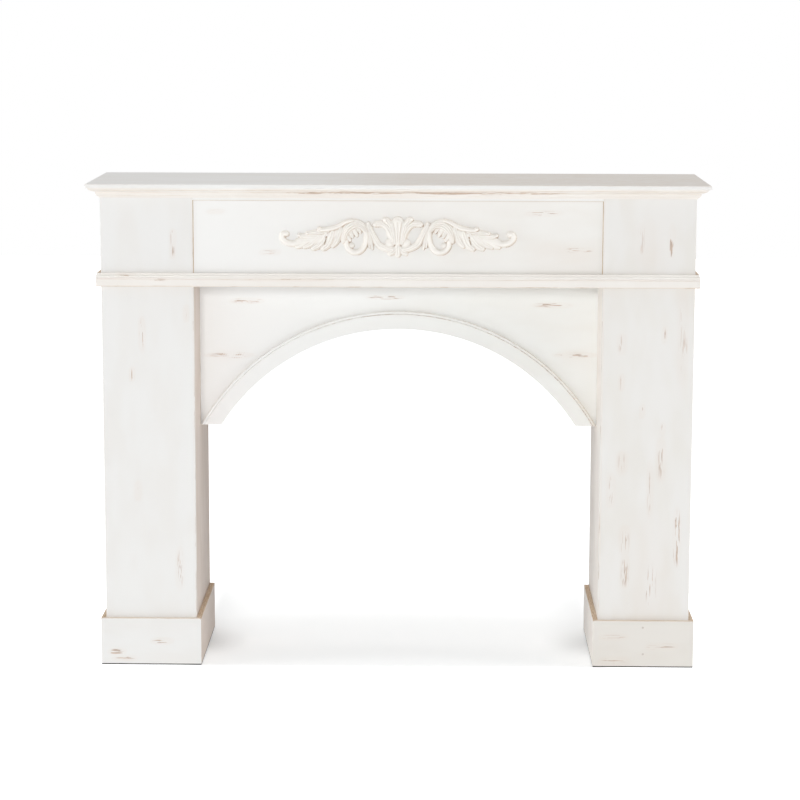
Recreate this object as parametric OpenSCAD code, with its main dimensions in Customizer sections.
// Free-standing fireplace mantel in painted wood: a moulded shelf on two boxed
// legs, a frieze with a carved onlay, a belt moulding and a recessed arch.
// Millimetres. X runs along the shelf, the front faces -Y and Z is up, with the
// origin on the floor under the middle of the shelf.

/* [Overall] */
// Length of the shelf
mantel_w = 1250; // [1120:5:1500]
// Depth of the shelf, from its front edge to the wall
mantel_d = 340; // [290:5:420]
// Height of the shelf's top above the floor
mantel_h = 990; // [880:5:1150]

/* [Boards] */
// Thickness of the leg, frieze and arch boards
board_t = 12; // [9:0.5:18]
// Thickness of the shelf
shelf_t = 8.5; // [6:0.5:20]
// Side of the square cleats behind the boards
cleat_s = 20; // [16:1:28]
// Height of the rails across the back
rail_h = 60; // [40:5:90]
// Length of the three-cornered glue blocks in the legs
glue_block_h = 70; // [40:5:120]
// Glue blocks up each front corner of a leg
glue_block_count = 4; // [2:1:5]

/* [Crown moulding] */
// Height of the crown under the shelf
crown_h = 20; // [18:1:30]
// How far the crown stands out from the legs
crown_out = 22; // [20:1:32]
// Thickness and height of the crown's foot
crown_foot = 2; // [1:0.5:4]
// How far the crown's middle fillet stands out
fillet_out = 8; // [6:0.5:12]
// Height of the fillet's lower edge in the crown
fillet_z = 8.4; // [6:0.2:10]
// Height of the fillet's face
fillet_h = 3; // [2:0.2:5]
// Height of the crown's upright edge under the shelf
crown_edge = 1.5; // [1:0.5:3]
// How deep the crown's coves sink below a straight slope
cove_sag = 1.2; // [0.5:0.1:1.5]
// How far the shelf stands out past the crown
shelf_lip = 5; // [2:0.5:15]
// Radius of the rounded edge of the shelf
shelf_round = 2.8; // [1:0.2:4]

/* [Legs and plinths] */
// Width of a leg across its front
leg_w = 186; // [140:2:220]
// Height of the plinth boards round a leg's foot
plinth_h = 98; // [60:2:160]
// Thickness of the plinth boards
plinth_t = 10; // [6:0.5:16]

/* [Frieze and belt] */
// Height of the frieze, from the top of the belt to the crown
frieze_h = 151.5; // [120:0.5:200]
// Height of the belt moulding
belt_h = 27; // [24:1:40]
// Thickness of the belt moulding
belt_t = 9.5; // [8:0.5:16]
// Radius of the two reeds along the belt
reed_r = 2; // [1.5:0.25:2.5]
// Depth of the grooves beside the reeds
reed_quirk = 1.2; // [0.6:0.2:1.4]
// Height of the plain edge above the reeds
belt_cap = 4; // [2:0.5:6]
// How far that edge lies behind the belt's face
belt_cap_set = 2.5; // [1:0.5:4]
// Width of the top rail that shows under the crown
rail_show = 5; // [3:1:20]
// Open joint between the frieze panel and the leg at each end
frieze_gap = 1.2; // [0.8:0.1:3]
// How far the frieze panel lies behind the leg fronts
frieze_set = 2; // [0.5:0.5:5]

/* [Arch] */
// Width of the flat between the arch's springing and a leg
arch_shoulder = 44; // [38:1:110]
// Rise of the arch from its springing to its crown
arch_rise = 202; // [150:2:230]
// Height of the panel above the crown of the arch
arch_head = 103; // [70:1:140]
// How far the arch panel lies behind the leg fronts
arch_set = 140; // [60:1:180]
// Width of the flat band round the arch
band_w = 30.5; // [20:0.5:34]
// Thickness of the flat band
band_t = 8; // [6:0.5:14]
// Width of the bead along the band's outer edge
bead_w = 6.5; // [5:0.5:9]
// Depth of the groove between the band and the bead
bead_quirk = 2; // [1:0.5:4]
// Width of that groove's floor
quirk_w = 1; // [0.5:0.25:2]

/* [Carved onlay] */
// Length of the carved onlay
onlay_w = 476; // [300:2:560]
// Greatest relief of the carving
onlay_relief = 10; // [8:0.5:20]

/* [Screws] */
// Diameter of a screw's shank
screw_d = 4; // [3:0.5:5]
// Diameter of a screw's countersunk head
screw_head_d = 8; // [7:0.5:10]
// How deep a screw bites into the board behind its cleat
screw_bite = 5; // [3:0.5:5]
// Room round a screw in its hole
screw_clear = 0.15; // [0.1:0.05:0.3]

/* [Hidden] */
$fn = 64;

paint = "#F1EEE8";
raw_wood = "#CBB08A";
steel = "#B9B7B0";

// Main planes
overhang = crown_out + shelf_lip;
front_y = -mantel_d / 2 + overhang;
back_y = mantel_d / 2;
leg_out = mantel_w / 2 - overhang;
leg_in = leg_out - leg_w;
shelf_z = mantel_h - shelf_t;
crown_z = shelf_z - crown_h;
belt_z = crown_z - frieze_h - belt_h;
soffit_top = belt_z + board_t;
frieze_top = crown_z - rail_show;
backer_y = front_y + board_t;
arch_y = front_y + arch_set;
arch_back_y = arch_y + board_t;

// Arch circle through the springing points and the crown
arch_span = 2 * (leg_in - arch_shoulder);
spring_z = belt_z - arch_head - arch_rise;
arch_r = (arch_span * arch_span / 4 + arch_rise * arch_rise) / (2 * arch_rise);
arch_cz = spring_z + arch_rise - arch_r;

// Shared shapes

function unit(v) = v / norm(v);

// A board between two corners
module board(low, high) {
  translate(low) cube(high - low);
}

// A piece of the right half copied to the side that s names: -1 left, 1 right
module on_side(s) {
  if (s < 0) mirror([1, 0, 0]) children();
  else children();
}

// A moulding along the front: the profile's x runs out of the face and its y up
module front_run(len) {
  rotate([90, 0, 90]) translate([0, 0, -len / 2]) linear_extrude(len)
    mirror([1, 0]) children();
}

// A moulding along the right side, from the front corner to the back
module side_run(reach) {
  translate([0, back_y, 0]) rotate([90, 0, 0])
    linear_extrude(back_y - front_y + reach) children();
}

// Plan of the front run of a moulding of the given projection, mitred at both ends
module front_mitre(out, height) {
  linear_extrude(height) polygon([
    [-leg_out, front_y], [leg_out, front_y],
    [leg_out + out, front_y - out], [-leg_out - out, front_y - out]
  ]);
}

// Plan of the right return of a moulding, mitred at the front corner
module side_mitre(out, height) {
  linear_extrude(height) polygon([
    [leg_out, front_y], [leg_out + out, front_y - out],
    [leg_out + out, back_y], [leg_out, back_y]
  ]);
}

// Shelf and crown

shelf_arris = min(shelf_round, shelf_t / 3);

// Section of the shelf seen from its end, with a rounded front edge
module shelf_section() {
  translate([shelf_arris, 0]) square([mantel_d - shelf_arris, shelf_t]);
  translate([0, shelf_arris]) square([shelf_arris, shelf_t - 2 * shelf_arris]);
  for (z = [shelf_arris, shelf_t - shelf_arris])
    translate([shelf_arris, z]) circle(r = shelf_arris);
}

// Section of the shelf seen from the front, with both ends rounded
module shelf_front_section() {
  half = mantel_w / 2 - shelf_arris;
  translate([-half, 0]) square([2 * half, shelf_t]);
  translate([-mantel_w / 2, shelf_arris])
    square([mantel_w, shelf_t - 2 * shelf_arris]);
  for (x = [-half, half], z = [shelf_arris, shelf_t - shelf_arris])
    translate([x, z]) circle(r = shelf_arris);
}

// The shelf has blind holes underneath for the screws of its cleats
module shelf_board() {
  color(paint) difference() {
    intersection() {
      translate([-mantel_w / 2, -mantel_d / 2, shelf_z])
        rotate([90, 0, 90]) linear_extrude(mantel_w) shelf_section();
      translate([0, back_y, shelf_z])
        rotate([90, 0, 0]) linear_extrude(mantel_d) shelf_front_section();
    }
    shelf_screw_holes();
  }
}

// Centre and radius of the circle through a and b that sinks sag below their chord
function sag_radius(a, b, sag) = (norm(b - a) * norm(b - a) / 4 + sag * sag) / (2 * sag);
function sag_centre(a, b, sag) =
  let (along = unit(b - a)) (a + b) / 2
    + [along.y, -along.x] * (sag_radius(a, b, sag) - sag);

// What a cove takes out of a slope that rises from a to b
module cove_cut(a, b, sag) {
  intersection() {
    translate(sag_centre(a, b, sag)) circle(r = sag_radius(a, b, sag));
    translate(a) square(b - a);
  }
}

// Crown section: a foot, a small cove, a fillet, and a long cove up to the shelf
module crown_section() {
  foot_top = [crown_foot, crown_foot];
  fillet_low = [fillet_out, fillet_z];
  fillet_high = [fillet_out, fillet_z + fillet_h];
  edge_low = [crown_out, crown_h - crown_edge];
  difference() {
    polygon([[0, 0], [crown_foot, 0], foot_top, fillet_low, fillet_high, edge_low,
             [crown_out, crown_h], [0, crown_h]]);
    cove_cut(foot_top, fillet_low, cove_sag);
    cove_cut(fillet_high, edge_low, cove_sag);
  }
}

module crown_front() {
  color(paint) translate([0, 0, crown_z]) intersection() {
    translate([0, front_y, 0]) front_run(mantel_w) crown_section();
    front_mitre(crown_out, crown_h);
  }
}

module crown_return(s) {
  color(paint) on_side(s) translate([0, 0, crown_z]) intersection() {
    translate([leg_out, 0, 0]) side_run(crown_out) crown_section();
    side_mitre(crown_out, crown_h);
  }
}

module crown_left() { crown_return(-1); }
module crown_right() { crown_return(1); }

// Header between the legs

module top_rail() {
  color(paint) board([-leg_in, front_y, frieze_top], [leg_in, backer_y, shelf_z]);
}

module frieze_panel() {
  half = leg_in - frieze_gap;
  color(paint)
    board([-half, front_y + frieze_set, soffit_top],
          [half, backer_y, frieze_top - frieze_gap / 2]);
}

module frieze_backer() {
  color(raw_wood)
    board([-leg_in, backer_y, soffit_top], [leg_in, backer_y + board_t, shelf_z]);
}

module soffit_board() {
  color(paint)
    board([-leg_in, front_y, belt_z], [leg_in, arch_back_y + cleat_s, soffit_top]);
}

// Belt moulding

belt_flat = belt_h - belt_cap - 4 * reed_r;

// Belt section: a flat lower face, two reeds, and a plain edge set back on top
module belt_section() {
  square([belt_t, belt_flat]);
  square([belt_t - reed_quirk, belt_h - belt_cap]);
  square([belt_t - belt_cap_set, belt_h]);
  for (i = [0, 1])
    translate([belt_t - reed_r, belt_flat + reed_r * (1 + 2 * i)]) circle(r = reed_r);
}

module belt_front() {
  color(paint) translate([0, 0, belt_z]) intersection() {
    translate([0, front_y, 0]) front_run(mantel_w) belt_section();
    front_mitre(belt_t, belt_h);
  }
}

module belt_return(s) {
  color(paint) on_side(s) translate([0, 0, belt_z]) intersection() {
    translate([leg_out, 0, 0]) side_run(belt_t) belt_section();
    side_mitre(belt_t, belt_h);
  }
}

module belt_left() { belt_return(-1); }
module belt_right() { belt_return(1); }

// Legs

module leg_front(s) {
  color(paint) on_side(s)
    board([leg_in, front_y, 0], [leg_out, backer_y, shelf_z]);
}

module leg_outer_side(s) {
  color(paint) on_side(s)
    board([leg_out - board_t, backer_y, 0], [leg_out, back_y, shelf_z]);
}

// The inner side has the blind holes that the arch cleat's screws bite into
module leg_inner_side(s) {
  color(paint) on_side(s) difference() {
    board([leg_in, backer_y, 0], [leg_in + board_t, back_y, shelf_z]);
    for (z = arch_screw_z) arch_screw_place(z) screw_hole();
  }
}

module left_leg_front() { leg_front(-1); }
module left_leg_outer_side() { leg_outer_side(-1); }
module left_leg_inner_side() { leg_inner_side(-1); }
module right_leg_front() { leg_front(1); }
module right_leg_outer_side() { leg_outer_side(1); }
module right_leg_inner_side() { leg_inner_side(1); }

// Plinths, mitred at the two front corners of each leg

module plinth_front(s) {
  color(paint) on_side(s) linear_extrude(plinth_h) polygon([
    [leg_in, front_y], [leg_out, front_y],
    [leg_out + plinth_t, front_y - plinth_t], [leg_in - plinth_t, front_y - plinth_t]
  ]);
}

module plinth_outer(s) {
  color(paint) on_side(s) side_mitre(plinth_t, plinth_h);
}

module plinth_inner(s) {
  color(paint) on_side(s) linear_extrude(plinth_h) polygon([
    [leg_in, front_y], [leg_in - plinth_t, front_y - plinth_t],
    [leg_in - plinth_t, back_y], [leg_in, back_y]
  ]);
}

module left_plinth_front() { plinth_front(-1); }
module left_plinth_outer() { plinth_outer(-1); }
module left_plinth_inner() { plinth_inner(-1); }
module right_plinth_front() { plinth_front(1); }
module right_plinth_outer() { plinth_outer(1); }
module right_plinth_inner() { plinth_inner(1); }

// Arch

module arch_panel() {
  color(paint) translate([0, arch_back_y, 0]) rotate([90, 0, 0])
    linear_extrude(board_t) difference() {
      translate([-leg_in, spring_z]) square([2 * leg_in, belt_z - spring_z]);
      translate([0, arch_cz]) circle(r = arch_r, $fn = 180);
    }
}

bead_r = (bead_w - quirk_w) / 2;

// Section of the arch moulding: radius along x and thickness along y. A flat
// band ends in a groove and a round bead.
module arch_section() {
  translate([arch_r, 0]) square([band_w, band_t]);
  translate([arch_r + band_w, 0]) square([bead_w, band_t - bead_quirk]);
  translate([arch_r + band_w + bead_w - bead_r, band_t - bead_quirk]) circle(r = bead_r);
}

// A full turn of the section, cut level at the springing
module arch_moulding() {
  color(paint) intersection() {
    translate([0, arch_y, arch_cz]) rotate([90, 0, 0])
      rotate_extrude($fn = 180) arch_section();
    board([-leg_in, arch_y - band_t - bead_w, spring_z], [leg_in, arch_y, belt_z]);
  }
}

// Cleats, rails and stretchers behind the boards

// Section of a countersunk wood screw, from its head's face at 0 into the wood
module screw_section(shank_r, head_r, length) {
  polygon([
    [0, 0], [head_r, 0], [shank_r, head_r - shank_r],
    [shank_r, length - shank_r], [0, length]
  ]);
}

module screw() {
  rotate_extrude()
    screw_section(screw_d / 2, screw_head_d / 2, cleat_s + screw_bite);
}

module screw_hole() {
  rotate_extrude()
    screw_section(screw_d / 2 + screw_clear, screw_head_d / 2 + screw_clear,
                  cleat_s + screw_bite + screw_clear);
}

// Heights of the screws in an arch side cleat
arch_cleat_top = belt_z - cleat_s;
arch_cleat_len = arch_cleat_top - spring_z;
arch_screw_z = [for (i = [0:2]) spring_z + arch_cleat_len * (1 + 2 * i) / 6];

// A screw of the right side cleat, driven out along +X into the leg's inner side
module arch_screw_place(z) {
  translate([leg_in - cleat_s, arch_back_y + cleat_s / 2, z]) rotate([0, 90, 0])
    children();
}

// A screw driven straight up through a shelf cleat
module shelf_screw_place(x, y) {
  translate([x, y, shelf_z - cleat_s]) children();
}

// Every screw hole under the shelf
module shelf_screw_holes() {
  for (p = shelf_front_screws) shelf_screw_place(p.x, p.y) screw_hole();
  for (s = [-1, 1], p = shelf_side_screws)
    on_side(s) shelf_screw_place(p.x, p.y) screw_hole();
}

shelf_front_cleat_y = backer_y + board_t;
shelf_front_screws = [for (i = [-3:2:3]) [leg_in * i / 4, shelf_front_cleat_y + cleat_s / 2]];
shelf_side_x = leg_out - board_t - cleat_s / 2;
shelf_side_screws = [for (i = [1, 3])
  [shelf_side_x, backer_y + (back_y - board_t - backer_y) * i / 4]];

module arch_top_cleat() {
  color(raw_wood)
    board([-leg_in, arch_back_y, arch_cleat_top], [leg_in, arch_back_y + cleat_s, belt_z]);
}

module arch_side_cleat(s) {
  color(raw_wood) on_side(s) difference() {
    board([leg_in - cleat_s, arch_back_y, spring_z],
          [leg_in, arch_back_y + cleat_s, arch_cleat_top]);
    for (z = arch_screw_z) arch_screw_place(z) screw_hole();
  }
}

module arch_left_cleat() { arch_side_cleat(-1); }
module arch_right_cleat() { arch_side_cleat(1); }

module shelf_front_cleat() {
  color(raw_wood) difference() {
    board([-leg_in, shelf_front_cleat_y, shelf_z - cleat_s],
          [leg_in, shelf_front_cleat_y + cleat_s, shelf_z]);
    for (p = shelf_front_screws) shelf_screw_place(p.x, p.y) screw_hole();
  }
}

module shelf_side_cleat(s) {
  color(raw_wood) on_side(s) difference() {
    board([leg_out - board_t - cleat_s, backer_y, shelf_z - cleat_s],
          [leg_out - board_t, back_y - board_t, shelf_z]);
    for (p = shelf_side_screws) shelf_screw_place(p.x, p.y) screw_hole();
  }
}

module shelf_left_cleat() { shelf_side_cleat(-1); }
module shelf_right_cleat() { shelf_side_cleat(1); }

module rear_rail() {
  color(raw_wood)
    board([-leg_in, back_y - board_t, shelf_z - rail_h], [leg_in, back_y, shelf_z]);
}

// A stretcher across the open back of a leg, from its lower edge upwards
module leg_stretcher(s, z) {
  color(raw_wood) on_side(s)
    board([leg_in + board_t, back_y - board_t, z], [leg_out - board_t, back_y, z + rail_h]);
}

module left_leg_top_stretcher() { leg_stretcher(-1, shelf_z - rail_h); }
module left_leg_base_stretcher() { leg_stretcher(-1, 0); }
module right_leg_top_stretcher() { leg_stretcher(1, shelf_z - rail_h); }
module right_leg_base_stretcher() { leg_stretcher(1, 0); }

// Three-cornered blocks up the two front corners inside a leg
module leg_glue_blocks(s) {
  low = plinth_h / 2;
  step = (belt_z - low - glue_block_h) / (glue_block_count - 1);
  color(raw_wood) on_side(s) for (i = [0:glue_block_count - 1])
    translate([0, backer_y, low + i * step]) linear_extrude(glue_block_h) {
      translate([leg_in + board_t, 0]) polygon([[0, 0], [cleat_s, 0], [0, cleat_s]]);
      translate([leg_out - board_t, 0]) polygon([[0, 0], [0, cleat_s], [-cleat_s, 0]]);
    }
}

module left_leg_glue_blocks() { leg_glue_blocks(-1); }
module right_leg_glue_blocks() { leg_glue_blocks(1); }

module arch_screws() {
  color(steel) for (s = [-1, 1], z = arch_screw_z)
    on_side(s) arch_screw_place(z) screw();
}

module shelf_screws() {
  color(steel) {
    for (p = shelf_front_screws) shelf_screw_place(p.x, p.y) screw();
    for (s = [-1, 1], p = shelf_side_screws)
      on_side(s) shelf_screw_place(p.x, p.y) screw();
  }
}

// Carved onlay: stems and leaf lobes, each a rounded ridge carried along a curve.
// The curves are drawn for an onlay of this length, to the right of its middle.

onlay_drawn_w = 476;
onlay_scale = onlay_w / onlay_drawn_w;
onlay_y = front_y + frieze_set;
onlay_z = (belt_z + belt_h + frieze_top) / 2;

// Each ridge: half widths at its start, middle and end, its share of the relief,
// and the points that its spine passes through
shell_ridges = [
  [[4, 6, 6], 0.75, [[5, -12], [8, 10], [14, 26], [25, 35]]],
  [[4, 5.5, 6], 0.70, [[11, -8], [13, 6], [22, 21], [34, 27], [46, 25]]],
  [[4, 6, 4], 0.60, [[4, -24], [10, -30], [17, -36]]],
  [[4, 4.5, 2.5], 0.60, [[4, -10], [14, -8], [24, -12]]]
];
scroll_ridges = [
  [[3.5, 4.5, 4], 0.70, [[60, 26], [53, 10], [46, -4], [39, -15], [27, -22], [12, -26]]],
  [[3, 4, 2], 0.60, [[61, 21], [55, 0], [50, -25]]],
  [[4, 4.5, 3.5], 0.70,
   [[63, 12], [62, -2], [66, -17], [74, -28], [84, -32], [95, -29], [103, -20], [105, -10]]],
  [[4, 12, 4], 0.90, [[63, 12], [72, 23], [87, 26], [98, 20], [106, 8], [109, -10]]],
  [[3.5, 4, 3.5], 1.00, [[90, 34], [104, 32], [120, 23], [140, 16], [161, 16]]],
  [[8, 15, 6], 0.60, [[112, 14], [134, 3], [158, -5], [182, -8], [200, -11]]]
];
leaf_ridges = [
  [[5, 6.5, 3.5], 0.75, [[116, 18], [120, 2], [132, -22]]],
  [[5, 8, 5], 0.80, [[131, 11], [137, -8], [153, -29]]],
  [[5, 8, 4], 0.75, [[144, 6], [156, -13], [173, -27]]],
  [[5, 7, 3.5], 0.70, [[160, 0], [176, -15], [190, -23]]],
  [[4, 6, 3.5], 0.65, [[178, -8], [193, -18], [205, -23]]],
  [[4, 5, 3], 0.75, [[142, 12], [168, 8], [183, 7]]],
  [[5, 5.5, 3], 0.70, [[158, 2], [178, 1], [198, 3]]],
  [[6, 5, 4], 0.70,
   [[182, -9], [200, -13], [214, -14], [226, -10], [233, -2], [232, 6], [225, 8], [220, 3]]]
];
shell_boss = [0, -12, 7];
shell_flute = [[[5, 7, 9], 0.85, [[0, -14], [0, 12], [0, 42]]]];
shell_drop = [[[4, 5, 4], 0.65, [[0, -14], [0, -30], [0, -41]]]];

ridge_steps = 3;
ridge_sides = 4;
ridge_end = 0.5;

// Point at u (0 to 1) of the stretch from b to c, on a smooth curve through a, b, c, d
function curve_at(a, b, c, d, u) =
  0.5 * (2 * b + (c - a) * u + (2 * a - 5 * b + 4 * c - d) * u * u
         + (3 * b - a - 3 * c + d) * u * u * u);

// The spine: ridge_steps points along each stretch, and the last point
function spine(p) = let (n = len(p)) [
  for (i = [0:n - 2], k = [0:ridge_steps - 1])
    curve_at(p[max(i - 1, 0)], p[i], p[i + 1], p[min(i + 2, n - 1)], k / ridge_steps),
  p[n - 1]
];

// Half width at t (0 to 1), on a parabola through the start, middle and end values
function width_at(w, t) =
  w[0] * (1 - t) * (1 - 2 * t) + w[1] * 4 * t * (1 - t) + w[2] * t * (2 * t - 1);

// One ridge, lying on z = 0: half-round rings across the spine, closed underneath
module ridge(widths, share, points) {
  s = spine(points);
  n = len(s);
  m = ridge_sides + 1;
  rings = [for (i = [0:n - 1]) let (
      t = i / (n - 1),
      along = unit(s[min(i + 1, n - 1)] - s[max(i - 1, 0)]),
      across = [-along.y, along.x],
      end = (i == 0 || i == n - 1) ? ridge_end : 1,
      w = width_at(widths, t) * end,
      h = onlay_relief * share * end
    ) for (j = [0:m - 1]) let (a = 180 * j / (m - 1))
      [s[i].x + across.x * w * cos(a), s[i].y + across.y * w * cos(a), h * sin(a)]];
  sides = [for (i = [0:n - 2], j = [0:m - 1]) let (
      a = i * m + j, b = i * m + (j + 1) % m, c = a + m, d = b + m)
      each [[a, c, b], [b, c, d]]];
  caps = [for (j = [1:m - 2]) each [
      [0, j, j + 1], [(n - 1) * m, (n - 1) * m + j + 1, (n - 1) * m + j]]];
  polyhedron(rings, concat(sides, caps));
}

// Half a ball on z = 0: x, y and radius
module boss(b) {
  translate([b.x, b.y, 0]) intersection() {
    sphere(r = b.z, $fn = 12);
    translate([-b.z, -b.z, 0]) cube(2 * b.z);
  }
}

module ridges(list) {
  for (r = list) ridge(r[0], r[1], r[2]);
}

module carved_onlay() {
  color(paint) translate([0, onlay_y, onlay_z]) rotate([90, 0, 0])
    scale([onlay_scale, onlay_scale, 1]) {
      ridges(shell_flute);
      ridges(shell_drop);
      boss(shell_boss);
      for (s = [-1, 1]) on_side(s) {
        ridges(shell_ridges);
        ridges(scroll_ridges);
        ridges(leaf_ridges);
      }
    }
}

shelf_board();
crown_front();
crown_left();
crown_right();
top_rail();
frieze_panel();
frieze_backer();
carved_onlay();
belt_front();
belt_left();
belt_right();
left_leg_front();
left_leg_outer_side();
left_leg_inner_side();
right_leg_front();
right_leg_outer_side();
right_leg_inner_side();
left_plinth_front();
left_plinth_outer();
left_plinth_inner();
right_plinth_front();
right_plinth_outer();
right_plinth_inner();
soffit_board();
arch_panel();
arch_moulding();
arch_top_cleat();
arch_left_cleat();
arch_right_cleat();
shelf_front_cleat();
shelf_left_cleat();
shelf_right_cleat();
rear_rail();
left_leg_top_stretcher();
left_leg_base_stretcher();
right_leg_top_stretcher();
right_leg_base_stretcher();
left_leg_glue_blocks();
right_leg_glue_blocks();
arch_screws();
shelf_screws();
